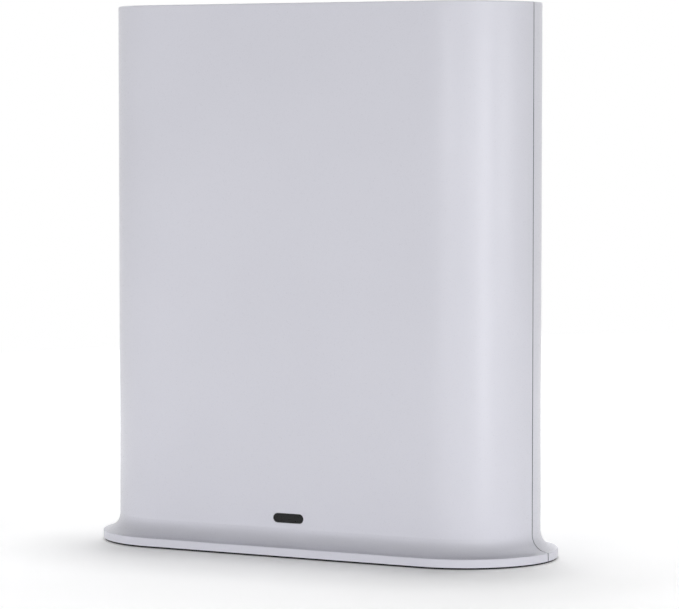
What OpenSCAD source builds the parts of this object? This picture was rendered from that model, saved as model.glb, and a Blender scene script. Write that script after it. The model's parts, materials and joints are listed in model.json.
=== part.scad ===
// Security camera base station: an upright hub with rounded ends on a flared foot.
// The frame has +Z up and the front facing -Y. The origin is the centre of the footprint, on the table.

/* [Body] */
// Width of the body across its rounded ends
body_w = 144; // [138:0.2:160]
// Depth of the body from front face to rear face, which the round ends span
body_d = 48; // [45:0.2:54]
// Height of the top above the table
overall_h = 170; // [160:1:200]
// Thickness of the moulded walls
wall = 2.2; // [1.8:0.1:2.6]
// Rounding of the top edge
top_edge_r = 0.5; // [0.3:0.1:1.4]
// Place of the parting plane between the covers, from the middle of the depth
parting_y = -0.6; // [-3:0.1:1]
// Width of the groove that shows along the parting plane
seam_w = 0.5; // [0.2:0.1:0.8]
// Depth of that groove
seam_depth = 0.7; // [0.6:0.1:0.9]
// How far the rear cover's tongue reaches into the front cover
tongue_l = 2; // [1.4:0.1:3]

/* [Foot] */
// How far the foot stands out from the body all round
foot_offset = 5.4; // [4:0.1:6]
// Height of the foot's upright edge
foot_edge_h = 2.6; // [1.8:0.05:3]
// Radius of the hollow flare between body and foot
flare_r = 5.3; // [5.2:0.1:7]
// Rounding of the foot's upper edge
rim_r = 0.35; // [0.3:0.05:0.6]
// Height of the dark base plate's edge that shows under the covers
plate_edge_h = 0.55; // [0.3:0.05:1]
// How far the base plate's edge stands back from the foot's edge
plate_setback = 0.4; // [0.2:0.1:1]
// Height of the base plate above the underside of the covers
plate_plug_h = 3.35; // [3:0.05:4]
// Thickness of the rubber foot pad
pad_t = 1; // [0.8:0.1:1.2]
// How far the foot pad stands proud of the base plate
pad_proud = 0.1; // [0.05:0.05:0.4]
// How far the foot pad stands back from the base plate's raised middle
pad_setback = 2; // [1.5:0.5:6]

/* [Status light] */
// Width of the light's window
light_w = 10.5; // [8:0.1:14]
// Height of the light's window
light_h = 2.8; // [2:0.1:3.2]
// Height of the window's middle above the table
light_z = 11.7; // [10.5:0.1:14]
// How far the window's face lies behind the front face
light_recess = 0.15; // [0.05:0.05:0.4]
// Width of the light pipe's bar
pipe_w = 8.4; // [6:0.1:9]
// Thickness of the light pipe's bar
pipe_t = 2; // [1.4:0.1:2.4]

/* [Main board] */
// Width of the main board
board_w = 100; // [98:1:104]
// Height of the main board
board_h = 122; // [116:1:126]
// Thickness of the main board
board_t = 1.6; // [1.2:0.1:2]
// Gap between base plate and main board
board_gap = 3; // [1:0.5:3]
// Distance of the fixing holes from the board's edges
board_hole_inset = 5.5; // [5:0.5:7]
// Radius of the fixing holes
board_hole_r = 1.5; // [1.4:0.1:1.8]

/* [Ports] */
// Height of the ports' middle above the table
port_z = 31; // [28:0.5:40]
// Height of the sockets above the main board
port_h = 14.4; // [13:0.1:16]
// Width of the recessed bay round the ports
bay_w = 84; // [80:1:88]
// Height of the bay
bay_h = 22; // [18:1:26]
// Corner radius of the bay
bay_r = 5; // [2:0.5:8]
// Depth of the bay
bay_depth = 1.6; // [0.8:0.1:2]
// Place of the sync button across the back
sync_x = 33; // [31:0.5:35]
// Place of the reset pinhole across the back
reset_x = 21; // [19.5:0.5:22]
// Place of the storage socket across the back
usb_x = 6; // [5:0.5:8]
// Place of the network socket across the back
ethernet_x = -14; // [-15:0.5:-12]
// Place of the power socket across the back
power_x = -33; // [-35:0.5:-30]
// Gap between a socket and the edge of its window
port_clear = 0.25; // [0.15:0.05:0.5]

/* [Sockets] */
// Width and height of the network socket's housing
ethernet_size = [16, 13.6]; // [12:0.1:18]
// Width and height of the opening for the network plug
ethernet_mouth = [11.9, 6.9]; // [6:0.1:12.5]
// Depth of the network socket
ethernet_depth = 12.4; // [11:0.1:12.8]
// Thickness of the network socket's metal shield
ethernet_skin = 0.3; // [0.2:0.05:0.4]
// Width and height of the network socket's two signal lights
ethernet_light = [2.8, 1.8]; // [1.2:0.1:3.2]
// Width and height inside the storage socket's shell
usb_mouth = [12.5, 5.1]; // [5:0.1:13]
// Thickness of the storage socket's shell
usb_shell_t = 0.3; // [0.2:0.05:0.5]
// Width and thickness of the storage socket's tongue
usb_tongue_size = [11.1, 1.9]; // [1.5:0.1:11.5]
// Radius of the power socket's nose
power_nose_r = 4.6; // [4.2:0.1:5]
// Bore radius of the power socket
power_bore_r = 3.15; // [2.9:0.05:3.4]
// Depth of that bore
power_bore_l = 10; // [8:0.1:11]
// Radius of the pin in the power socket
power_pin_r = 1; // [0.8:0.05:1.3]
// How far the pin's tip lies inside the mouth
power_pin_setback = 1; // [0.5:0.1:2]

/* [Buttons] */
// Radius of the sync button's cap
sync_cap_r = 4; // [3:0.1:4.6]
// How far the sync button stands out of the bay's floor
sync_proud = 1; // [0.7:0.1:1.5]
// How far the sync button travels when it is pressed
sync_travel = 0.5; // [0.2:0.05:0.6]
// Gap round the sync button
sync_clear = 0.2; // [0.1:0.05:0.4]
// Radius of the pinhole over the reset switch
reset_hole_r = 0.8; // [0.6:0.05:0.9]
// How far the reset switch travels
reset_travel = 0.3; // [0.2:0.05:0.5]
// Radius of the reset switch's stem
reset_stem_r = 1.2; // [1:0.1:1.6]
// Side of a push switch's square body
switch_w = 6.2; // [5.6:0.1:7]
// Height of a push switch's body
switch_h = 3.4; // [3:0.1:4]
// Radius of a push switch's plunger
plunger_r = 1.7; // [1.5:0.05:2]

/* [Vents] */
// Width of a vent slot
vent_w = 2; // [1.4:0.1:3]
// Length of a vent slot
vent_l = 24; // [16:1:26]
// Distance from slot to slot
vent_pitch = 5; // [4:0.5:7]
// Number of slots in a row
vent_count = 15; // [5:2:15]
// Distance of the upper row's middle below the top
vent_top_drop = 38; // [36:1:50]
// Distance of the lower row's middle above the ports' middle
vent_low_rise = 31; // [30:1:40]

/* [Cooling] */
// Width and height of the heat sink
sink_size = [44, 44]; // [36:1:48]
// Thickness of the heat sink's base
sink_base_t = 2; // [1.5:0.1:3]
// Height of the fins
fin_h = 8; // [4:0.5:10]
// Thickness of a fin
fin_t = 1.2; // [0.8:0.1:1.6]
// Number of fins
fin_count = 9; // [5:1:11]
// Side of the processor
processor_w = 14; // [12:0.5:18]
// Thickness of the processor
processor_t = 1.2; // [0.8:0.1:1.6]
// Thickness of the thermal pad
thermal_pad_t = 0.6; // [0.4:0.1:1]
// Height of the processor's middle above the board's lower edge
processor_rise = 70; // [60:1:76]

/* [Radio] */
// Width, length and thickness of an antenna board
antenna_size = [10, 58, 0.8]; // [0.6:0.1:64]
// Gap between main board and side antennas
antenna_gap = 4; // [3:0.5:5]
// Height of the side antennas' middle above the table
antenna_z = 88; // [84:1:92]
// Distance of the upper antenna's middle below the top
antenna_top_drop = 11; // [9:0.5:13]
// Diameter of the antenna leads
lead_d = 1.2; // [0.8:0.1:1.6]

/* [Fixings] */
// Radius of a screw's shank
screw_r = 1.25; // [1:0.05:1.4]
// Radius of a screw's head
screw_head_r = 2.4; // [2.1:0.1:2.8]
// Height of a screw's head
screw_head_h = 1.5; // [1.2:0.1:1.6]
// Length of a board screw below its head
board_screw_l = 7; // [5:0.5:9]
// Length of a base screw below its head
base_screw_l = 8; // [6:0.5:10]
// Radius of a screw boss
boss_r = 3.2; // [2.8:0.1:3.6]
// Height of the base screws' bosses
base_boss_h = 12; // [10.5:0.5:14]
// Distance of a base screw from the centre of its round end
base_boss_reach = 15; // [13:0.5:16]
// Gap left between pieces that fit together
fit_gap = 0.1; // [0.05:0.05:0.15]

/* [Hidden] */
$fn = 64;

// Colours of the pieces
white_plastic = [0.86, 0.86, 0.88];
black_plastic = [0.05, 0.05, 0.055];
smoked_plastic = [0.09, 0.09, 0.1];
clear_plastic = [0.85, 0.9, 0.92];
rubber_black = [0.03, 0.03, 0.03];
board_green = [0.05, 0.26, 0.14];
chip_black = [0.08, 0.08, 0.085];
pad_grey = [0.55, 0.6, 0.66];
metal_silver = [0.75, 0.76, 0.78];
contact_gold = [0.85, 0.68, 0.3];

// A length that reaches past the whole body, for cutting away
past = body_w + body_d + overall_h;
// A small overshoot so that cuts leave no skin
over = 1;

// Plan: the round ends turn about these centres
end_r = body_d / 2;
end_x = body_w / 2 - end_r;
front_y = -body_d / 2;
rear_y = body_d / 2;
front_in_y = front_y + wall;
rear_in_y = rear_y - wall;

// Section: distances out from an end's centre, and heights
plate_z = pad_proud;
shell_z = plate_z + plate_edge_h;
rim_x = end_r + foot_offset;
rim_round_z = shell_z + foot_edge_h - rim_r;
flare_cx = end_r + flare_r;
flare_side = flare_r - foot_offset + rim_r;
// The flare lies this little bit low, so that it meets the rounded edge in a clean line
blend_drop = 0.004;
flare_cz = rim_round_z + sqrt(pow(flare_r + rim_r, 2) - pow(flare_side, 2)) - blend_drop;
flare_touch_x = rim_x - rim_r + rim_r * flare_side / (flare_r + rim_r);
plate_top_z = shell_z + plate_plug_h;
tongue_inset = max(wall / 2, seam_depth + 2 * fit_gap);

// Inner radius of a moulded wall at a given height within the flare
function flare_inner_x(z) = flare_cx - sqrt(pow(flare_r + wall, 2) - pow(flare_cz - z, 2));
plug_x = flare_inner_x(plate_top_z) - 2 * fit_gap;
pad_x = plug_x - pad_setback;

// Board and ports: sockets stand on the rear side of the board and end just inside the bay
port_setback = 0.2;
bay_floor_y = rear_y - bay_depth;
bay_in_y = bay_floor_y - wall;
port_face_y = bay_floor_y - port_setback;
board_rear_y = port_face_y - port_h;
board_front_y = board_rear_y - board_t;
board_z = plate_top_z + board_gap;
board_top_z = board_z + board_h;
board_hole_x = board_w / 2 - board_hole_inset;
board_hole_z = [board_z + board_hole_inset, board_top_z - board_hole_inset];
processor_z = board_z + processor_rise;

// Screws
pilot_r = screw_r + fit_gap / 2;
head_seat_z = plate_z + pad_t - pad_proud;
base_boss_at = base_boss_reach / sqrt(2);
base_screw_x = end_x + base_boss_at;
base_screw_y = base_boss_at;

// Status light
light_flange = 1.2;
light_flange_t = 1;
light_flange_y = front_in_y + light_flange_t;
pipe_plate_t = 1.2;
pipe_pin_r = 1.1;
pipe_ear = 3;
pipe_pin_x = light_w / 2 + light_flange + pipe_ear;
led_size = [3.4, 1.1, 2.8];
led_gap = 0.3;

// Antennas stand level with the rear side of the board, on pins of the rear cover
antenna_w = antenna_size[0];
antenna_l = antenna_size[1];
antenna_t = antenna_size[2];
antenna_x = board_w / 2 + antenna_gap + antenna_w / 2;
antenna_rear_y = board_rear_y + antenna_t;
antenna_top_z = overall_h - antenna_top_drop;
antenna_pin_r = 1;
antenna_pin_span = antenna_l - 10;
antenna_boss_r = 2.4;

// Buttons
sync_flange_r = sync_cap_r + sync_clear + 1.2;
sync_flange_t = 1.2;
sync_flange_y = bay_in_y - fit_gap;
plunger_rise = 1;
switch_top_y = board_rear_y + switch_h;
plunger_top_y = switch_top_y + plunger_rise;
plunger_sunk = 0.6;
reset_gap = 1.5;
reset_top_y = bay_in_y - reset_gap;

// Small parts on the board
socket_r = 1.3;
socket_h = 1.2;
socket_side_inset = 4;
socket_rise = 12;
socket_top_inset = 5;
socket_x = board_w / 2 - socket_side_inset;
socket_z = antenna_z + socket_rise;
socket_top_z = board_top_z - socket_top_inset;
memory_size = [9, 13];
memory_t = 1.1;
memory_x = 9;

// Shapes shared by several pieces

module rounded_rect(size, r) {
    square([size[0], size[1] - 2 * r], center = true);
    square([size[0] - 2 * r, size[1]], center = true);
    for (sx = [-1, 1], sy = [-1, 1])
        translate([sx * (size[0] / 2 - r), sy * (size[1] / 2 - r)]) circle(r);
}

module pill(w, h) {
    square([w - h, h], center = true);
    for (sx = [-1, 1])
        translate([sx * (w - h) / 2, 0]) circle(h / 2);
}

// Extrudes an outline drawn in X and Z along Y, from y0 to y1
module along_y(y0, y1) {
    translate([0, y1, 0]) rotate([90, 0, 0]) linear_extrude(y1 - y0) children();
}

// A round bar along Y, from y0 to y1
module rod_y(r, y0, y1) {
    translate([0, y0, 0]) rotate([-90, 0, 0]) cylinder(r = r, h = y1 - y0);
}

// A block given by its middle in X and Z and its reach in Y
module block_y(size, y0, y1) {
    translate([-size[0] / 2, y0, -size[1] / 2]) cube([size[0], y1 - y0, size[1]]);
}

// Carries a section round the plan: x is the distance out from an end's centre, y the height
module around_plan() {
    rotate([90, 0, 90]) linear_extrude(2 * end_x, center = true) {
        children();
        mirror([1, 0]) children();
    }
    for (turn = [0, 180])
        rotate(turn) translate([end_x, 0, 0]) rotate(-90) rotate_extrude(angle = 180) children();
}

// Section of the outside, with its rounded top edge, hollow flare and rounded foot
module outer_section() {
    difference() {
        translate([0, shell_z]) square([end_r, overall_h - shell_z]);
        translate([end_r - top_edge_r, overall_h - top_edge_r]) difference() {
            square(top_edge_r + over);
            circle(top_edge_r);
        }
    }
    translate([0, shell_z]) square([rim_x, rim_round_z - shell_z]);
    translate([rim_x - rim_r, rim_round_z]) circle(rim_r);
    difference() {
        translate([0, shell_z]) square([flare_touch_x, flare_cz - shell_z]);
        translate([flare_cx, flare_cz]) circle(flare_r);
    }
}

// The same section moved inwards, with a square top edge and foot
module inset_section(inset, bottom) {
    translate([0, bottom]) square([end_r - inset, overall_h - inset - bottom]);
    difference() {
        translate([0, bottom]) square([rim_x - inset, flare_cz - bottom]);
        translate([flare_cx, flare_cz]) circle(flare_r + inset);
    }
}

module outer_body() {
    around_plan() outer_section();
}

module inset_body(inset, bottom = shell_z) {
    around_plan() inset_section(inset, bottom);
}

module cavity() {
    inset_body(wall, shell_z - over);
}

// A level plate that follows the plan, as far out from the ends' centres as given
module plan_plate(reach, z0, z1) {
    around_plan() translate([0, z0]) square([reach, z1 - z0]);
}

// Everything between two planes across the depth
module depth_slab(y0, y1) {
    translate([-past / 2, y0, -over]) cube([past, y1 - y0, overall_h + 2 * over]);
}

// The groove that shows at the parting plane, between y0 and y1
module seam_groove(y0, y1) {
    difference() {
        depth_slab(y0, y1);
        inset_body(seam_depth, shell_z - over);
    }
}

// Snap beads on the tongue along the top, and the pockets that they click into
snap_w = 10;
snap_t = 0.4;
snap_l = 0.8;
module snap_beads(grow) {
    for (x = [-1, 0, 1] * end_x * 0.7)
        translate([x - snap_w / 2 - grow, parting_y - tongue_l / 2 - snap_l / 2 - grow,
            overall_h - tongue_inset - fit_gap - over])
            cube([snap_w + 2 * grow, snap_l + 2 * grow, snap_t + over + grow]);
}

// A boss for a base screw with a web that ties it to the round end
module base_boss(side_x, side_y) {
    web_t = 2;
    translate([side_x * end_x, 0, 0]) rotate(atan2(side_y, side_x)) {
        translate([base_boss_reach, 0, plate_top_z]) cylinder(r = boss_r, h = base_boss_h);
        translate([base_boss_reach, -web_t / 2, flare_cz])
            cube([end_r - base_boss_reach, web_t, plate_top_z + base_boss_h - flare_cz]);
    }
}

module base_pilots(side_y) {
    pilot_l = base_screw_l + over;
    for (sx = [-1, 1])
        translate([sx * base_screw_x, side_y * base_screw_y, plate_top_z - over])
            cylinder(r = pilot_r, h = pilot_l);
}

// Covers

module front_cover() color(white_plastic) {
    pin_end_y = light_flange_y + pipe_plate_t + 1;
    rebate_y = parting_y - tongue_l - fit_gap;
    difference() {
        union() {
            difference() {
                intersection() {
                    outer_body();
                    depth_slab(-past, parting_y);
                }
                cavity();
            }
            intersection() {
                inset_body(wall / 2);
                union() {
                    for (sx = [-1, 1]) {
                        base_boss(sx, -1);
                        translate([sx * pipe_pin_x, 0, light_z]) rod_y(pipe_pin_r, front_y, pin_end_y);
                    }
                }
            }
        }
        intersection() {
            depth_slab(rebate_y, parting_y + over);
            inset_body(tongue_inset, shell_z - over);
        }
        snap_beads(fit_gap);
        seam_groove(parting_y - seam_w / 2, parting_y + over);
        translate([0, 0, light_z]) along_y(front_y - over, front_in_y + over)
            pill(light_w + 2 * fit_gap, light_h + 2 * fit_gap);
        base_pilots(-1);
    }
}

// Windows in the floor of the port bay
module port_windows() {
    y0 = bay_in_y - over;
    y1 = bay_floor_y + over;
    grow = 2 * port_clear;
    translate([usb_x, 0, port_z])
        block_y([usb_mouth[0] + 2 * usb_shell_t + grow, usb_mouth[1] + 2 * usb_shell_t + grow], y0, y1);
    translate([ethernet_x, 0, port_z])
        block_y([ethernet_size[0] + grow, ethernet_size[1] + grow], y0, y1);
    translate([power_x, 0, port_z]) rod_y(power_nose_r + port_clear, y0, y1);
    translate([sync_x, 0, port_z]) rod_y(sync_cap_r + sync_clear, y0, y1);
    translate([reset_x, 0, port_z]) rod_y(reset_hole_r, y0, y1);
}

module vent_row(z) {
    for (i = [0 : vent_count - 1])
        translate([(i - (vent_count - 1) / 2) * vent_pitch, 0, z])
            along_y(rear_in_y - over, rear_y + over) rotate(90) pill(vent_l, vent_w);
}

// Places of the antennas' pins as [x, z]
function antenna_pins() = [
    for (sx = [-1, 1], sz = [-1, 1]) [sx * antenna_x, antenna_z + sz * antenna_pin_span / 2],
    for (sx = [-1, 1]) [sx * antenna_pin_span / 2, antenna_top_z]
];

module rear_cover() color(white_plastic) {
    bay_pad = [bay_w + 2 * wall, bay_h + 2 * wall];
    pin_tip = 1.2;
    difference() {
        union() {
            difference() {
                intersection() {
                    outer_body();
                    depth_slab(parting_y, past);
                }
                cavity();
            }
            difference() {
                intersection() {
                    inset_body(tongue_inset + fit_gap);
                    depth_slab(parting_y - tongue_l, parting_y + over);
                }
                cavity();
            }
            intersection() {
                snap_beads(0);
                depth_slab(parting_y - tongue_l, parting_y);
            }
            intersection() {
                inset_body(wall / 2);
                union() {
                    for (sx = [-1, 1]) {
                        base_boss(sx, 1);
                        for (z = board_hole_z)
                            translate([sx * board_hole_x, 0, z]) rod_y(boss_r, board_rear_y, rear_y);
                    }
                    for (p = antenna_pins()) translate([p[0], 0, p[1]]) {
                        rod_y(antenna_boss_r, antenna_rear_y, rear_y);
                        rod_y(antenna_pin_r, board_rear_y - pin_tip, rear_y);
                    }
                    translate([0, 0, port_z]) along_y(bay_in_y, rear_y) rounded_rect(bay_pad, bay_r + wall);
                }
            }
        }
        translate([0, 0, port_z]) along_y(bay_floor_y, rear_y + over) rounded_rect([bay_w, bay_h], bay_r);
        port_windows();
        vent_row(overall_h - vent_top_drop);
        vent_row(port_z + vent_low_rise);
        for (sx = [-1, 1], z = board_hole_z)
            translate([sx * board_hole_x, 0, z])
                rod_y(pilot_r, board_rear_y - over, board_rear_y + board_screw_l);
        base_pilots(1);
        seam_groove(parting_y, parting_y + seam_w / 2);
    }
}

// Base

module base_plate() color(black_plastic) {
    hole_r = screw_r + 2 * fit_gap;
    seat_r = screw_head_r + 2 * fit_gap;
    difference() {
        union() {
            plan_plate(rim_x - plate_setback, plate_z, shell_z);
            plan_plate(plug_x, plate_z, plate_top_z);
        }
        plan_plate(pad_x, plate_z - over, head_seat_z);
        for (sx = [-1, 1], sy = [-1, 1])
            translate([sx * base_screw_x, sy * base_screw_y, 0]) {
                cylinder(r = hole_r, h = plate_top_z + over);
                cylinder(r = seat_r, h = head_seat_z + screw_head_h);
            }
    }
}

module foot_pad() color(rubber_black) {
    plan_plate(pad_x - fit_gap, 0, head_seat_z);
}

// A pan-head screw pointing up, with its head's underside at the origin and a cross recess
module screw(length) {
    recess_w = screw_head_r * 0.35;
    recess_l = screw_head_r * 1.2;
    recess_d = screw_head_h * 0.6;
    difference() {
        union() {
            cylinder(r = screw_r, h = length);
            translate([0, 0, -screw_head_h]) cylinder(r = screw_head_r, h = screw_head_h);
        }
        for (turn = [0, 90])
            rotate(turn) translate([-recess_l / 2, -recess_w / 2, -screw_head_h - over])
                cube([recess_l, recess_w, recess_d + over]);
    }
}

module base_screws() color(metal_silver) {
    for (sx = [-1, 1], sy = [-1, 1])
        translate([sx * base_screw_x, sy * base_screw_y, head_seat_z + screw_head_h]) screw(base_screw_l);
}

// Status light

module led_window() color(smoked_plastic) {
    translate([0, 0, light_z]) {
        along_y(front_y + light_recess, front_in_y + fit_gap) pill(light_w, light_h);
        along_y(front_in_y, light_flange_y) pill(light_w + 2 * light_flange, light_h + 2 * light_flange);
    }
}

module light_pipe() color(clear_plastic) {
    plate_w = 2 * (pipe_pin_x + pipe_pin_r + 1.2);
    plate_h = light_h + 2 * light_flange;
    translate([0, 0, light_z]) {
        difference() {
            along_y(light_flange_y, light_flange_y + pipe_plate_t) pill(plate_w, plate_h);
            for (sx = [-1, 1])
                translate([sx * pipe_pin_x, 0, 0])
                    rod_y(pipe_pin_r + fit_gap, light_flange_y - over, light_flange_y + pipe_plate_t + over);
        }
        block_y([pipe_w, pipe_t], light_flange_y, board_front_y - led_size[1] - led_gap);
    }
}

module status_led() color("white") {
    translate([0, 0, light_z])
        block_y([led_size[0], led_size[2]], board_front_y - led_size[1], board_front_y);
}

// Main board and what stands on it

sink_pin_r = 1.2;
sink_pin_inset = 4;
sink_pin_at = [sink_size[0] / 2 - sink_pin_inset, sink_size[1] / 2 - sink_pin_inset];

// The two corners of the heat sink that its push pins pass through
module at_sink_pins() {
    for (s = [-1, 1])
        translate([s * sink_pin_at[0], 0, processor_z + s * sink_pin_at[1]]) children();
}

module main_board() color(board_green) {
    y0 = board_front_y - over;
    y1 = board_rear_y + over;
    corner = 2;
    difference() {
        translate([0, 0, board_z + board_h / 2])
            along_y(board_front_y, board_rear_y) rounded_rect([board_w, board_h], corner);
        for (sx = [-1, 1], z = board_hole_z)
            translate([sx * board_hole_x, 0, z]) rod_y(board_hole_r, y0, y1);
        at_sink_pins() rod_y(sink_pin_r + fit_gap, y0, y1);
    }
}

module board_screws() color(metal_silver) {
    for (sx = [-1, 1], z = board_hole_z)
        translate([sx * board_hole_x, board_front_y, z]) rotate([-90, 0, 0]) screw(board_screw_l);
}

// A part that lies on the front of the board at [x, z], under a stack that is y0 high
module on_front(x, z, size, t, y0 = 0) {
    translate([x, 0, z]) block_y(size, board_front_y - y0 - t, board_front_y - y0);
}

// A part that lies on the rear of the board at [x, z]
module on_rear(x, z, size, t) {
    translate([x, 0, z]) block_y(size, board_rear_y, board_rear_y + t);
}

module processor() color(chip_black) {
    on_front(0, processor_z, [processor_w, processor_w], processor_t);
}

module thermal_pad() color(pad_grey) {
    on_front(0, processor_z, [processor_w, processor_w], thermal_pad_t, processor_t);
}

module heat_sink() color(metal_silver) {
    seat = processor_t + thermal_pad_t;
    fin_pitch = (sink_size[0] - fin_t) / (fin_count - 1);
    notch = 2 * sink_pin_inset + over;
    y_top = board_front_y - seat - sink_base_t;
    difference() {
        union() {
            on_front(0, processor_z, sink_size, sink_base_t, seat);
            for (i = [0 : fin_count - 1])
                on_front((i - (fin_count - 1) / 2) * fin_pitch, processor_z, [fin_t, sink_size[1]],
                    fin_h, seat + sink_base_t);
        }
        at_sink_pins() {
            block_y([notch, notch], y_top - fin_h - over, y_top);
            rod_y(sink_pin_r + fit_gap, y_top - over, board_front_y);
        }
    }
}

module heat_sink_pins() color("white") {
    seat_y = board_front_y - processor_t - thermal_pad_t - sink_base_t;
    head_r = 2.4;
    head_h = 1.4;
    barb_r = sink_pin_r + 0.5;
    barb_h = 1.2;
    at_sink_pins() {
        rod_y(head_r, seat_y - head_h, seat_y);
        rod_y(sink_pin_r, seat_y - head_h, board_rear_y + barb_h);
        rod_y(barb_r, board_rear_y, board_rear_y + barb_h);
    }
}

module memory_chips() color(chip_black) {
    for (sx = [-1, 1])
        on_rear(sx * memory_x, processor_z, memory_size, memory_t);
}

// A folded tin can over a radio circuit, with a row of cooling holes
module shield_can(x, z, size) {
    can_h = 2.6;
    skin = 0.3;
    hole_r = 0.8;
    hole_pitch = 4;
    holes = floor(size[0] / hole_pitch) - 1;
    difference() {
        on_front(x, z, size, can_h);
        on_front(x, z, [size[0] - 2 * skin, size[1] - 2 * skin], can_h - skin);
        for (i = [0 : holes - 1])
            translate([x + (i - (holes - 1) / 2) * hole_pitch, 0, z])
                rod_y(hole_r, board_front_y - can_h - over, board_front_y - can_h + skin + over);
    }
}

shield_gap = 6;
shield_size = [36, 20];
shield_z = processor_z + sink_size[1] / 2 + shield_gap + shield_size[1] / 2;

module wifi_shield() color(metal_silver) {
    shield_can(-shield_size[0] / 2 - shield_gap / 2, shield_z, shield_size);
}

module radio_shield() color(metal_silver) {
    shield_can(shield_size[0] / 2 + shield_gap / 2, shield_z, shield_size);
}

// Sockets on the back

// The network socket is a moulded insert in a metal shield, which ends this far in front of the insert
ethernet_setback = 0.4;
ethernet_inset = 2 * (ethernet_skin + fit_gap);
ethernet_insert = [ethernet_size[0] - ethernet_inset, ethernet_size[1] - ethernet_inset];
ethernet_face_y = port_face_y - ethernet_setback;

module ethernet_shield() color(metal_silver) {
    inside = [ethernet_size[0] - 2 * ethernet_skin, ethernet_size[1] - 2 * ethernet_skin];
    translate([ethernet_x, 0, port_z]) difference() {
        block_y(ethernet_size, board_rear_y, port_face_y);
        block_y(inside, board_rear_y - over, port_face_y + over);
    }
}

// The places of the two signal lights, over the mouth
module at_ethernet_lights() {
    lens_x = (ethernet_mouth[0] - ethernet_light[0]) / 2;
    lens_z = (ethernet_mouth[1] + ethernet_insert[1]) / 4;
    for (sx = [-1, 1])
        translate([ethernet_x + sx * lens_x, 0, port_z + lens_z]) children();
}

ethernet_light_l = 6;

module ethernet_jack() color(black_plastic) {
    latch_size = [6.4, 1.7];
    latch_tip = [3.4, 0.9];
    cavity_y = port_face_y - ethernet_depth;
    mouth_y = port_face_y + over;
    low_z = -ethernet_mouth[1] / 2;
    grow = 2 * fit_gap;
    difference() {
        translate([ethernet_x, 0, port_z]) difference() {
            block_y(ethernet_insert, board_rear_y, ethernet_face_y);
            block_y(ethernet_mouth, cavity_y, mouth_y);
            translate([0, 0, low_z]) {
                block_y([latch_size[0], 2 * latch_size[1]], cavity_y, mouth_y);
                block_y([latch_tip[0], 2 * (latch_size[1] + latch_tip[1])], cavity_y, mouth_y);
            }
        }
        at_ethernet_lights()
            block_y([ethernet_light[0] + grow, ethernet_light[1] + grow],
                ethernet_face_y - ethernet_light_l, mouth_y);
    }
}

module ethernet_lights() color(clear_plastic) {
    at_ethernet_lights() block_y(ethernet_light, ethernet_face_y - ethernet_light_l, ethernet_face_y);
}

module ethernet_contacts() color(contact_gold) {
    pitch = 1.02;
    wire = 0.4;
    roof = ethernet_mouth[1] / 2;
    back_y = port_face_y - ethernet_depth;
    foot_l = 3;
    rise_l = 7;
    droop = 1.6;
    for (i = [0 : 7])
        translate([ethernet_x + (i - 3.5) * pitch - wire / 2, 0, port_z]) rotate([90, 0, 90])
            linear_extrude(wire) polygon([
                [back_y, roof],
                [back_y + foot_l, roof],
                [back_y + foot_l + rise_l, roof - droop],
                [back_y + foot_l + rise_l, roof - droop - wire],
                [back_y + foot_l, roof - wire],
                [back_y, roof - wire]
            ]);
}

module ethernet_transformer() color(chip_black) {
    on_rear(ethernet_x, port_z + ethernet_size[1] / 2 + 10, [13, 9.5], 4);
}

module usb_shell() color(metal_silver) {
    outside = [usb_mouth[0] + 2 * usb_shell_t, usb_mouth[1] + 2 * usb_shell_t];
    translate([usb_x, 0, port_z]) difference() {
        block_y(outside, board_rear_y, port_face_y);
        block_y(usb_mouth, board_rear_y - over, port_face_y + over);
    }
}

usb_base_l = 4;
usb_tip_setback = 1;
usb_tongue_z = port_z + usb_mouth[1] / 2 - 1.2 - usb_tongue_size[1] / 2;

module usb_tongue() color(black_plastic) {
    base = [usb_mouth[0] - 2 * fit_gap, usb_mouth[1] - 2 * fit_gap];
    translate([usb_x, 0, port_z]) block_y(base, board_rear_y, board_rear_y + usb_base_l);
    translate([usb_x, 0, usb_tongue_z])
        block_y(usb_tongue_size, board_rear_y, port_face_y - usb_tip_setback);
}

module usb_contacts() color(contact_gold) {
    strip = [1, 0.2];
    pitch = 2.3;
    strip_z = usb_tongue_z - usb_tongue_size[1] / 2 - strip[1] / 2;
    tip_gap = 1.2;
    for (i = [0 : 3])
        translate([usb_x + (i - 1.5) * pitch, 0, strip_z])
            block_y(strip, board_rear_y + usb_base_l, port_face_y - usb_tip_setback - tip_gap);
}

power_contact_size = [2, 0.3];
power_contact_slot = 0.5;

module power_jack() color(black_plastic) {
    nose_l = 5;
    block_w = 2 * power_nose_r + 0.8;
    translate([power_x, 0, port_z]) difference() {
        union() {
            block_y([block_w, block_w], board_rear_y, port_face_y - nose_l);
            rod_y(power_nose_r, board_rear_y, port_face_y);
        }
        rod_y(power_bore_r, port_face_y - power_bore_l, port_face_y + over);
        translate([0, 0, -power_bore_r])
            block_y([power_contact_size[0] + 2 * fit_gap, 2 * power_contact_slot],
                port_face_y - power_bore_l, port_face_y - nose_l);
    }
}

module power_pin() color(metal_silver) {
    tip_l = 0.5;
    root_y = port_face_y - power_bore_l;
    tip_y = port_face_y - power_pin_setback;
    translate([power_x, 0, port_z]) {
        rod_y(power_pin_r, root_y, tip_y - tip_l);
        translate([0, tip_y - tip_l, 0]) rotate([-90, 0, 0])
            cylinder(r1 = power_pin_r, r2 = power_pin_r - tip_l, h = tip_l);
    }
}

module power_contact() color(metal_silver) {
    slot_floor = -power_bore_r - power_contact_slot;
    translate([power_x, 0, port_z + slot_floor + power_contact_size[1] / 2])
        block_y(power_contact_size, port_face_y - power_bore_l, port_face_y - power_bore_l + 4);
}

module power_inductor() color(chip_black) {
    on_rear(power_x, port_z + power_nose_r + 10, [7, 7], 4);
}

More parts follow.
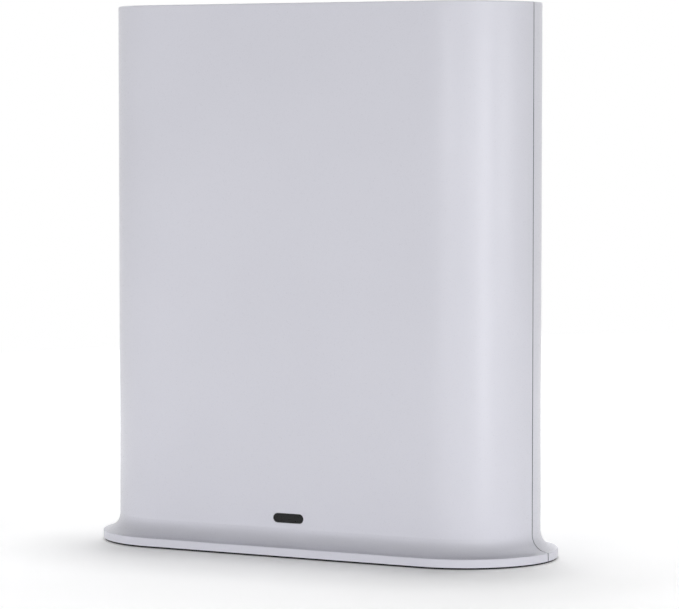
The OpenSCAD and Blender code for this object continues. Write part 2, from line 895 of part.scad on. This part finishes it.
module capacitors() color(metal_silver) {
    can_r = 3.15;
    can_h = 7.7;
    for (i = [0, 1])
        translate([power_x - can_r - 1 + i * (2 * can_r + 2), 0, port_z + power_nose_r + 20])
            rod_y(can_r, board_rear_y, board_rear_y + can_h);
}

// Push switches: a square body with a bore for its plunger
module push_switch(x, bore_r) {
    skirt = 1.2;
    difference() {
        on_rear(x, port_z, [switch_w, switch_w], switch_h);
        translate([x, 0, port_z]) rod_y(bore_r, board_rear_y + skirt, switch_top_y + over);
    }
}

module sync_switch() color(chip_black) {
    push_switch(sync_x, plunger_r + fit_gap);
}

module sync_plunger() color(white_plastic) {
    translate([sync_x, 0, port_z]) rod_y(plunger_r, switch_top_y - plunger_sunk, plunger_top_y);
}

module sync_button() color(white_plastic) {
    face_y = bay_floor_y + sync_proud;
    edge = 0.5;
    stem_r = 1.6;
    dish_depth = 0.35;
    dish_r = (pow(sync_cap_r - 2 * edge, 2) + pow(dish_depth, 2)) / (2 * dish_depth);
    translate([sync_x, 0, port_z]) difference() {
        union() {
            rod_y(sync_cap_r, sync_flange_y - sync_flange_t, face_y - edge);
            translate([0, face_y - edge, 0]) rotate([-90, 0, 0])
                cylinder(r1 = sync_cap_r, r2 = sync_cap_r - edge, h = edge);
            rod_y(sync_flange_r, sync_flange_y - sync_flange_t, sync_flange_y);
            rod_y(stem_r, plunger_top_y, sync_flange_y);
        }
        translate([0, face_y + dish_r - dish_depth, 0]) sphere(dish_r);
    }
}

module reset_switch() color(chip_black) {
    push_switch(reset_x, reset_stem_r + fit_gap);
}

module reset_plunger() color(black_plastic) {
    translate([reset_x, 0, port_z]) rod_y(reset_stem_r, switch_top_y - plunger_sunk, reset_top_y);
}

// Antennas and their leads

module antenna(x, z, size) {
    pin_hole_r = antenna_pin_r + fit_gap;
    upright = size[1] > size[0];
    pin_step = upright ? [0, 0, antenna_pin_span / 2] : [antenna_pin_span / 2, 0, 0];
    difference() {
        translate([x, 0, z]) block_y(size, board_rear_y, antenna_rear_y);
        for (s = [-1, 1])
            translate([x, 0, z] + s * pin_step)
                rod_y(pin_hole_r, board_rear_y - over, antenna_rear_y + over);
    }
}

module antenna_left() color(board_green) {
    antenna(-antenna_x, antenna_z, [antenna_w, antenna_l]);
}

module antenna_right() color(board_green) {
    antenna(antenna_x, antenna_z, [antenna_w, antenna_l]);
}

module antenna_top() color(board_green) {
    antenna(0, antenna_top_z, [antenna_l, antenna_w]);
}

module antenna_sockets() color(contact_gold) {
    for (p = [[-socket_x, socket_z], [socket_x, socket_z], [0, socket_top_z]])
        translate([p[0], 0, p[1]]) rod_y(socket_r, board_rear_y, board_rear_y + socket_h);
}

// A point on a smooth curve through four points, at t from 0 to 1 between the middle two
function smooth(a, b, c, d, t) =
    0.5 * (2 * b + (c - a) * t + (2 * a - 5 * b + 4 * c - d) * t * t + (3 * b - a - 3 * c + d) * t * t * t);

// A smooth line through the points of a route, with the given number of steps from point to point
function smooth_route(points, steps) = let (n = len(points)) [
    for (i = [0 : n - 2], j = [0 : steps - 1])
        smooth(points[max(i - 1, 0)], points[i], points[i + 1], points[min(i + 2, n - 1)], j / steps),
    points[n - 1]
];

function unit(v) = v / norm(v);

// A round tube along a line of points, whose rings stand square to the line
module tube(line, r, sides = 8) {
    n = len(line);
    aside = [0, 1, 0];
    rings = [
        for (i = [0 : n - 1])
            let (along = unit(line[min(i + 1, n - 1)] - line[max(i - 1, 0)]))
            let (u = unit(cross(along, aside)))
            let (v = cross(u, along))
            for (k = [0 : sides - 1])
                line[i] + r * (cos(360 * k / sides) * u + sin(360 * k / sides) * v)
    ];
    sides_faces = [
        for (i = [0 : n - 2], k = [0 : sides - 1])
            let (a = i * sides + k)
            let (b = i * sides + (k + 1) % sides)
            each [[a, b, b + sides], [a, b + sides, a + sides]]
    ];
    start_faces = [for (k = [1 : sides - 2]) [0, k + 1, k]];
    end_faces = [for (k = [1 : sides - 2]) (n - 1) * sides * [1, 1, 1] + [0, k, k + 1]];
    polyhedron(points = rings, faces = concat(sides_faces, start_faces, end_faces), convexity = 4);
}

// Height of a lead's line over the faces that it is soldered or clipped to
lead_over_antenna = antenna_rear_y + lead_d / 2 + fit_gap;
lead_over_socket = board_rear_y + socket_h + lead_d / 2 + fit_gap;
lead_arch = 1.5;
// How far a side lead has dropped at the board's edge and past the gap
side_lead_drop = [1, 5];
// How far the upper lead bows aside on its way up, and its first rise
top_lead_bow = [3, 7, 5];
top_lead_rise = 6;

// From a side socket over the gap to the antenna beside it
module side_lead(side) {
    route = [
        [side * socket_x, lead_over_socket, socket_z],
        [side * board_w / 2, lead_over_socket + lead_arch, socket_z - side_lead_drop[0]],
        [side * (board_w / 2 + antenna_gap), lead_over_socket + lead_arch, socket_z - side_lead_drop[1]],
        [side * antenna_x, lead_over_antenna, antenna_z]
    ];
    tube(smooth_route(route, 5), lead_d / 2);
}

module antenna_lead_left() color(black_plastic) {
    side_lead(-1);
}

module antenna_lead_right() color(black_plastic) {
    side_lead(1);
}

// From the upper socket to the antenna under the top
module antenna_lead_top() color(black_plastic) {
    route = [
        [0, lead_over_socket, socket_top_z],
        [top_lead_bow[0], lead_over_socket + lead_arch, socket_top_z + top_lead_rise],
        [top_lead_bow[1], lead_over_socket + lead_arch, (socket_top_z + antenna_top_z) / 2],
        [top_lead_bow[2], lead_over_socket + lead_arch, antenna_top_z - antenna_w],
        [0, lead_over_antenna, antenna_top_z]
    ];
    tube(smooth_route(route, 5), lead_d / 2);
}

front_cover();
rear_cover();
base_plate();
foot_pad();
base_screws();
led_window();
light_pipe();
status_led();
main_board();
board_screws();
processor();
thermal_pad();
heat_sink();
heat_sink_pins();
memory_chips();
wifi_shield();
radio_shield();
ethernet_transformer();
ethernet_shield();
ethernet_jack();
ethernet_lights();
ethernet_contacts();
usb_shell();
usb_tongue();
usb_contacts();
power_jack();
power_pin();
power_contact();
power_inductor();
capacitors();
sync_button();
sync_switch();
sync_plunger();
reset_switch();
reset_plunger();
antenna_left();
antenna_right();
antenna_top();
antenna_sockets();
antenna_lead_left();
antenna_lead_right();
antenna_lead_top();
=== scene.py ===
import json
import math

import bpy
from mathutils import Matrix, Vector


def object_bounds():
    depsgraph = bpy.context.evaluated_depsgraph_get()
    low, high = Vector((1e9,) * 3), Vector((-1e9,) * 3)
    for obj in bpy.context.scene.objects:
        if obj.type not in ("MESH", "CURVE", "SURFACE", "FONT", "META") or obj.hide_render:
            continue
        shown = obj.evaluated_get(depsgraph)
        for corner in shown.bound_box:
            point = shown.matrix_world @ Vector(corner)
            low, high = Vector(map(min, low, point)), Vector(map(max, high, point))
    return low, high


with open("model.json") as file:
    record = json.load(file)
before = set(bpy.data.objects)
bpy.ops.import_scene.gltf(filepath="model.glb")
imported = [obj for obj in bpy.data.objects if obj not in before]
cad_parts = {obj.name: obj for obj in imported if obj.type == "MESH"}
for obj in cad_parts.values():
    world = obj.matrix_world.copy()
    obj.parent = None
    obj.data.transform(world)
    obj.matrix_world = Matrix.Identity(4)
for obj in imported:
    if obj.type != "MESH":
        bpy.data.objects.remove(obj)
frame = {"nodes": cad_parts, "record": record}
cad_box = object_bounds()
nodes = frame["nodes"]
scene = bpy.context.scene

# Camera, fitted to the photograph's edges, with lengths in metres

IMAGE_W = 679
FOCAL_PX = 3338.6
YAW = math.radians(28.705)
PITCH = math.radians(3.466)
DISTANCE = 1.0459
AIM_RIGHT = 0.00427
AIM_UP = 0.07645


def add_camera():
    right = Vector((math.cos(YAW), math.sin(YAW), 0))
    level = Vector((-math.sin(YAW), math.cos(YAW), 0))
    forward = level * math.cos(PITCH) + Vector((0, 0, -math.sin(PITCH)))
    aim = right * AIM_RIGHT + Vector((0, 0, AIM_UP))
    data = bpy.data.cameras.new("camera")
    data.sensor_fit = "HORIZONTAL"
    data.sensor_width = 36.0
    data.lens = FOCAL_PX / IMAGE_W * data.sensor_width
    data.clip_start = 0.02
    data.clip_end = 60.0
    camera = bpy.data.objects.new("camera", data)
    camera.location = aim - forward * DISTANCE
    camera.rotation_euler = forward.to_track_quat("-Z", "Y").to_euler()
    scene.collection.objects.link(camera)
    scene.camera = camera


# Materials, with textures sized in cells per metre and bumps in metres

FINE_GRAIN = 2600.0
RUBBER_GRAIN = 1500.0
SILICONE_GRAIN = 1200.0
EPOXY_GRAIN = 4000.0
DRAWN_LINES = 900.0
# Seams and slots narrower than about this darken with painted shade
SEAM_WIDTH = 0.0012
# The roughness of plastic and of metal changes by this much either way
PLASTIC_ROUGH_SPREAD = 0.04
METAL_ROUGH_SPREAD = 0.07


class Tree:
    """A material's node tree with short calls to add and join nodes."""

    def __init__(self, name):
        self.material = bpy.data.materials.new(name)
        self.material.use_nodes = True
        self.nodes = self.material.node_tree.nodes
        self.links = self.material.node_tree.links
        self.shader = self.nodes["Principled BSDF"]
        self.place = self.nodes.new("ShaderNodeTexCoord").outputs["Object"]

    def add(self, kind, inputs=None, **settings):
        node = self.nodes.new(kind)
        for key, value in settings.items():
            setattr(node, key, value)
        for key, value in (inputs or {}).items():
            self.put(node, key, value)
        return node

    def put(self, node, key, value):
        if isinstance(value, bpy.types.NodeSocket):
            self.links.new(value, node.inputs[key])
        else:
            node.inputs[key].default_value = value

    def set(self, **values):
        for key, value in values.items():
            self.put(self.shader, key.replace("_", " "), value)

    def noise(self, scale, detail=3.0, rough=0.55, place=None):
        node = self.add("ShaderNodeTexNoise", {"Vector": place or self.place, "Scale": scale,
                                               "Detail": detail, "Roughness": rough})
        return node.outputs["Fac"]

    def stretched(self, scale):
        node = self.add("ShaderNodeMapping", {"Vector": self.place, "Scale": scale})
        return node.outputs["Vector"]

    def span(self, value, low, high, from_low=0.3, from_high=0.7):
        node = self.add("ShaderNodeMapRange", {"Value": value, "From Min": from_low, "From Max": from_high,
                                               "To Min": low, "To Max": high})
        return node.outputs["Result"]

    def mix(self, factor, a, b):
        node = self.add("ShaderNodeMix", data_type="RGBA")
        self.put(node, 0, factor)
        self.put(node, 6, a)
        self.put(node, 7, b)
        return node.outputs[2]

    def math(self, operation, a, b=0.0):
        node = self.add("ShaderNodeMath", operation=operation)
        self.put(node, 0, a)
        self.put(node, 1, b)
        return node.outputs[0]

    def bump(self, height, distance, strength):
        node = self.add("ShaderNodeBump", {"Height": height, "Distance": distance, "Strength": strength})
        self.put(self.shader, "Normal", node.outputs["Normal"])


def rgb(r, g, b):
    """A colour given as it looks on screen, from 0 to 255, in the shader's linear values."""
    def linear(c):
        c = c / 255
        return c / 12.92 if c <= 0.04045 else ((c + 0.055) / 1.055) ** 2.4
    return (linear(r), linear(g), linear(b), 1.0)


def moulded(name, dark, light, rough, grain, depth, specular=0.5, painted_shade=None):
    """Moulded plastic or rubber: a faint change of tone, and a fine grain that breaks up the gloss.

    With a painted shade colour, narrow seams and slots darken towards it: painted shade where shade falls
    there.
    """
    t = Tree(name)
    cloud = t.noise(18.0, 2.0)
    speck = t.noise(grain, 4.0, 0.6)
    tone = t.mix(t.span(cloud, 0.0, 1.0), dark, light)
    if painted_shade:
        # Painted shade: occlusion darkens narrow seams and slots towards the shade colour
        shade = t.add("ShaderNodeAmbientOcclusion", {"Distance": SEAM_WIDTH}, samples=8)
        tone = t.mix(t.span(shade.outputs["AO"], 0.0, 1.0, 0.25, 0.75), painted_shade, tone)
    t.set(Base_Color=tone)
    t.set(Roughness=t.span(speck, rough - PLASTIC_ROUGH_SPREAD, rough + PLASTIC_ROUGH_SPREAD))
    t.set(Specular_IOR_Level=specular)
    t.bump(speck, depth, 0.6)
    return t.material


def metal(name, dark, light, rough, stretch):
    """Bare metal with fine drawn lines along one axis."""
    t = Tree(name)
    lines = t.noise(DRAWN_LINES, 4.0, 0.6, t.stretched(stretch))
    cloud = t.noise(120.0, 2.0)
    t.set(Base_Color=t.mix(t.span(cloud, 0.0, 1.0), dark, light), Metallic=1.0)
    t.set(Roughness=t.span(lines, rough - METAL_ROUGH_SPREAD, rough + METAL_ROUGH_SPREAD))
    t.bump(lines, 0.00001, 0.5)
    return t.material


def circuit(name):
    """Circuit board: green resist over copper tracks, with small tinned pads."""
    t = Tree(name)
    upright = t.add("ShaderNodeMapping", {"Vector": t.place, "Rotation": (math.radians(90), 0, 0)})
    tracks = t.add("ShaderNodeTexBrick", {"Vector": upright.outputs["Vector"], "Scale": 260.0,
                                          "Mortar Size": 0.03, "Mortar Smooth": 0.2, "Brick Width": 1.7,
                                          "Row Height": 0.35, "Color1": (0, 0, 0, 1),
                                          "Color2": (0.25, 0.25, 0.25, 1), "Mortar": (1, 1, 1, 1)})
    cells = t.add("ShaderNodeTexVoronoi", {"Vector": t.place, "Scale": 330.0, "Randomness": 0.9})
    pads = t.math("LESS_THAN", cells.outputs["Distance"], 0.16)
    ground = t.span(t.noise(45.0, 3.0), 0.0, 1.0)
    resist = t.mix(ground, rgb(12, 74, 44), rgb(20, 92, 54))
    with_tracks = t.mix(tracks.outputs["Color"], resist, rgb(40, 122, 72))
    t.set(Base_Color=t.mix(pads, with_tracks, rgb(196, 198, 200)))
    t.set(Metallic=pads)
    t.set(Roughness=t.span(t.noise(500.0), 0.28, 0.4), Specular_IOR_Level=0.5)
    t.bump(tracks.outputs["Fac"], 0.00003, 0.6)
    return t.material


def smoked_window(name):
    """Smoked light window: almost black, with a faint diffusing grain under a smooth face."""
    t = Tree(name)
    grain = t.noise(FINE_GRAIN, 3.0)
    t.set(Base_Color=t.mix(t.span(grain, 0.0, 1.0), rgb(20, 20, 21), rgb(28, 28, 29)))
    t.set(Roughness=t.span(grain, 0.26, 0.34), Specular_IOR_Level=0.28)
    t.bump(grain, 0.000004, 0.4)
    return t.material


def clear_pipe(name):
    """Milky light pipe with faint flow lines from moulding."""
    t = Tree(name)
    flow = t.noise(60.0, 2.0, 0.5, t.stretched((4.0, 0.4, 4.0)))
    t.set(Base_Color=t.mix(t.span(flow, 0.0, 1.0), rgb(236, 242, 244), rgb(246, 250, 250)))
    t.set(Transmission_Weight=0.35, IOR=1.49)
    t.set(Roughness=t.span(flow, 0.22, 0.3))
    t.bump(flow, 0.00002, 0.3)
    return t.material


def add_materials():
    looks = {
        # The white plastic's last colour is painted shade in its seams and slots
        "white_plastic": moulded("white_plastic", rgb(219, 219, 228), rgb(222, 222, 231), 0.3,
                                 FINE_GRAIN, 0.000006, 0.45, rgb(120, 120, 126)),
        "black_plastic": moulded("black_plastic", rgb(17, 17, 19), rgb(25, 25, 27), 0.55,
                                 FINE_GRAIN, 0.00002, 0.25),
        "smoked_plastic": smoked_window("smoked_plastic"),
        "clear_plastic": clear_pipe("clear_plastic"),
        "pale_plastic": moulded("pale_plastic", rgb(228, 228, 222), rgb(238, 238, 232), 0.45,
                                FINE_GRAIN, 0.00001),
        "rubber_black": moulded("rubber_black", rgb(16, 16, 16), rgb(26, 26, 26), 0.8,
                                RUBBER_GRAIN, 0.00004, 0.3),
        "board_green": circuit("board_green"),
        "chip_black": moulded("chip_black", rgb(26, 26, 28), rgb(38, 38, 40), 0.6,
                              EPOXY_GRAIN, 0.00001, 0.4),
        "pad_grey": moulded("pad_grey", rgb(140, 150, 162), rgb(160, 168, 178), 0.75,
                            SILICONE_GRAIN, 0.00003, 0.3),
        "steel": metal("steel", rgb(196, 198, 202), rgb(214, 216, 219), 0.26, (0.2, 4.0, 4.0)),
        "aluminium": metal("aluminium", rgb(188, 190, 193), rgb(208, 210, 212), 0.36, (4.0, 4.0, 0.2)),
        "gold": metal("gold", rgb(206, 164, 74), rgb(226, 188, 98), 0.22, (4.0, 0.2, 4.0)),
    }
    for part in frame["record"]["subparts"]:
        obj = nodes[part["node"]]
        obj.data.materials.clear()
        obj.data.materials.append(looks[part["material_slot"]])


# Studio: a white surround, a pale floor and soft lights, with lengths in metres

FLOOR_HALF_SIDE = 14.0
# The floor's glow by the distance from the foot: lower near it as a painted shadow, and white far away
FLOOR_GLOW_PAINTED_SHADOW = ((0.0, 0.19), (0.015, 0.33), (0.05, 0.43), (0.1, 0.46), (0.2, 0.54), (0.35, 0.8), (0.5, 1.0))
# Distance past a round end counts for more, so the painted shadow is lighter there, because less of the case
# shades the floor there
END_STRETCH = 1.6
# How much of the lamps' light the floor gives back near the case and far from it, and where that changes
FLOOR_LIT = (0.8, 0.0, 0.55, 1.0)

# A ring of low soft boxes, each with its azimuth in degrees and its power in watts
LOW_HEIGHT = 0.13
LOW_DISTANCE = 1.1
LOW_SIZE = (0.4, 0.1)
LOW_LAMPS = ((-55, 1.97), (-20, 0.94), (10, 1.83), (40, 1.7), (90, 3.75), (208, 2.6))

# Light from below: its rise and softness in degrees, then the azimuth and strength of each lamp
BELOW_RISE = 36
BELOW_SOFTNESS = 18
BELOW_LAMPS = ((-35, 0.37), (20, 0.43), (85, 0.37), (208, 0.67))

# Square lamps overhead: azimuth, height, distance, side and power
TOP_LAMPS = ((175, 1.2, 0.2, 0.25, 2.9), (240, 1.2, 0.25, 0.3, 2.3), (208, 1.15, 0.5, 0.4, 3.1))


def camera_like(tree_nodes, links):
    """1 for rays that show the background: from the camera, or by way of gloss or glass."""
    path = tree_nodes.new("ShaderNodeLightPath")
    value = path.outputs["Is Camera Ray"]
    for name in ("Is Glossy Ray", "Is Transmission Ray"):
        top = tree_nodes.new("ShaderNodeMath")
        top.operation = "MAXIMUM"
        links.new(value, top.inputs[0])
        links.new(path.outputs[name], top.inputs[1])
        value = top.outputs[0]
    return value


def add_world():
    world = bpy.data.worlds.new("studio")
    scene.world = world
    world.use_nodes = True
    tree = world.node_tree
    back = tree.nodes["Background"]
    back.inputs["Color"].default_value = (1.0, 1.0, 1.0, 1.0)
    tree.links.new(camera_like(tree.nodes, tree.links), back.inputs["Strength"])


def add_floor():
    mesh = bpy.data.meshes.new("floor")
    corners = [(x * FLOOR_HALF_SIDE, y * FLOOR_HALF_SIDE, 0) for x, y in ((-1, -1), (1, -1), (1, 1), (-1, 1))]
    mesh.from_pydata(corners, [], [(0, 1, 2, 3)])
    floor = bpy.data.objects.new("floor", mesh)
    scene.collection.objects.link(floor)
    t = Tree("floor")
    t.set(Roughness=0.9, Specular_IOR_Level=0.0, Emission_Color=(1.0, 1.0, 1.0, 1.0))
    # Distance from the foot, which is as long as the box and has round ends
    reach, half = cad_box[1][1], cad_box[1][0]
    place = t.add("ShaderNodeSeparateXYZ", {"Vector": t.place})
    along = t.math("ABSOLUTE", place.outputs["X"])
    past_end = t.math("MAXIMUM", t.math("SUBTRACT", along, half - reach), 0.0)
    from_line = t.add("ShaderNodeCombineXYZ", {"X": t.math("MULTIPLY", past_end, END_STRETCH),
                                               "Y": place.outputs["Y"]})
    length = t.add("ShaderNodeVectorMath", {"Vector": from_line.outputs["Vector"]}, operation="LENGTH")
    away = t.math("SUBTRACT", length.outputs["Value"], reach)
    t.set(Base_Color=t.span(away, *FLOOR_LIT))
    last = FLOOR_GLOW_PAINTED_SHADOW[-1][0]
    # The glow is lower near the foot, a painted shadow around the case, and rises to white far away
    ramp = t.add("ShaderNodeValToRGB", {"Fac": t.math("DIVIDE", away, last)})
    ramp.color_ramp.interpolation = "CARDINAL"
    stops = ramp.color_ramp.elements
    for distance, glow in FLOOR_GLOW_PAINTED_SHADOW:
        stop = stops[0] if distance == 0.0 else stops[-1] if distance == last else stops.new(distance / last)
        stop.color = (glow, glow, glow, 1.0)
    t.set(Emission_Strength=t.math("MULTIPLY", camera_like(t.nodes, t.links), ramp.outputs["Color"]))
    mesh.materials.append(t.material)
    # The light from below comes up through it
    floor.visible_shadow = False


def add_light(name, azimuth, height, distance, size, power, aim=(0, 0, 0.08), role="both"):
    """A soft box that faces the aim, placed around it by the angle from the front towards +X.

    A fill isn't mirrored in gloss, and a shine is seen only there.
    """
    turn = math.radians(azimuth)
    data = bpy.data.lights.new(name, "AREA")
    data.shape = "RECTANGLE"
    data.size, data.size_y = size
    data.energy = power
    light = bpy.data.objects.new(name, data)
    light.location = (aim[0] + distance * math.sin(turn), aim[1] - distance * math.cos(turn), height)
    light.rotation_euler = (Vector(aim) - light.location).to_track_quat("-Z", "Y").to_euler()
    light.visible_camera = False
    light.visible_glossy = role != "fill"
    light.visible_diffuse = role != "shine"
    scene.collection.objects.link(light)


def add_light_from_below(name, azimuth, strength):
    """Even, soft light that comes up through the floor, which throws no shade."""
    turn = math.radians(azimuth)
    data = bpy.data.lights.new(name, "SUN")
    data.angle = math.radians(BELOW_SOFTNESS)
    data.energy = strength
    light = bpy.data.objects.new(name, data)
    way = Vector((-math.sin(turn), math.cos(turn), math.tan(math.radians(BELOW_RISE))))
    light.rotation_euler = way.to_track_quat("-Z", "Y").to_euler()
    light.visible_camera = False
    light.visible_glossy = False
    scene.collection.objects.link(light)


def add_lights():
    # The ring lights the case evenly from top to bottom
    for azimuth, power in LOW_LAMPS:
        add_light(f"low_{azimuth}", azimuth, LOW_HEIGHT, LOW_DISTANCE, LOW_SIZE, power, role="fill")
    # Light from below, as from a light table, leaves the slope of the foot in a soft shade
    for azimuth, strength in BELOW_LAMPS:
        add_light_from_below(f"below_{azimuth}", azimuth, strength)
    # A strip no higher than the case draws the bright line down the rounded end
    add_light("strip", 57, 0.093, 0.3, (0.08, 0.18), 0.148, (0.048, 0, 0.093), "shine")
    # Lamps above and behind light the floor, the top and the back
    for azimuth, height, distance, side, power in TOP_LAMPS:
        add_light(f"top_{azimuth}", azimuth, height, distance, (side, side), power, role="fill")
    add_light("back_low", 208, 0.15, 1.3, (0.3, 0.28), 2.0)


add_camera()
add_materials()
add_world()
add_floor()
add_lights()

scene.view_settings.view_transform = "Standard"
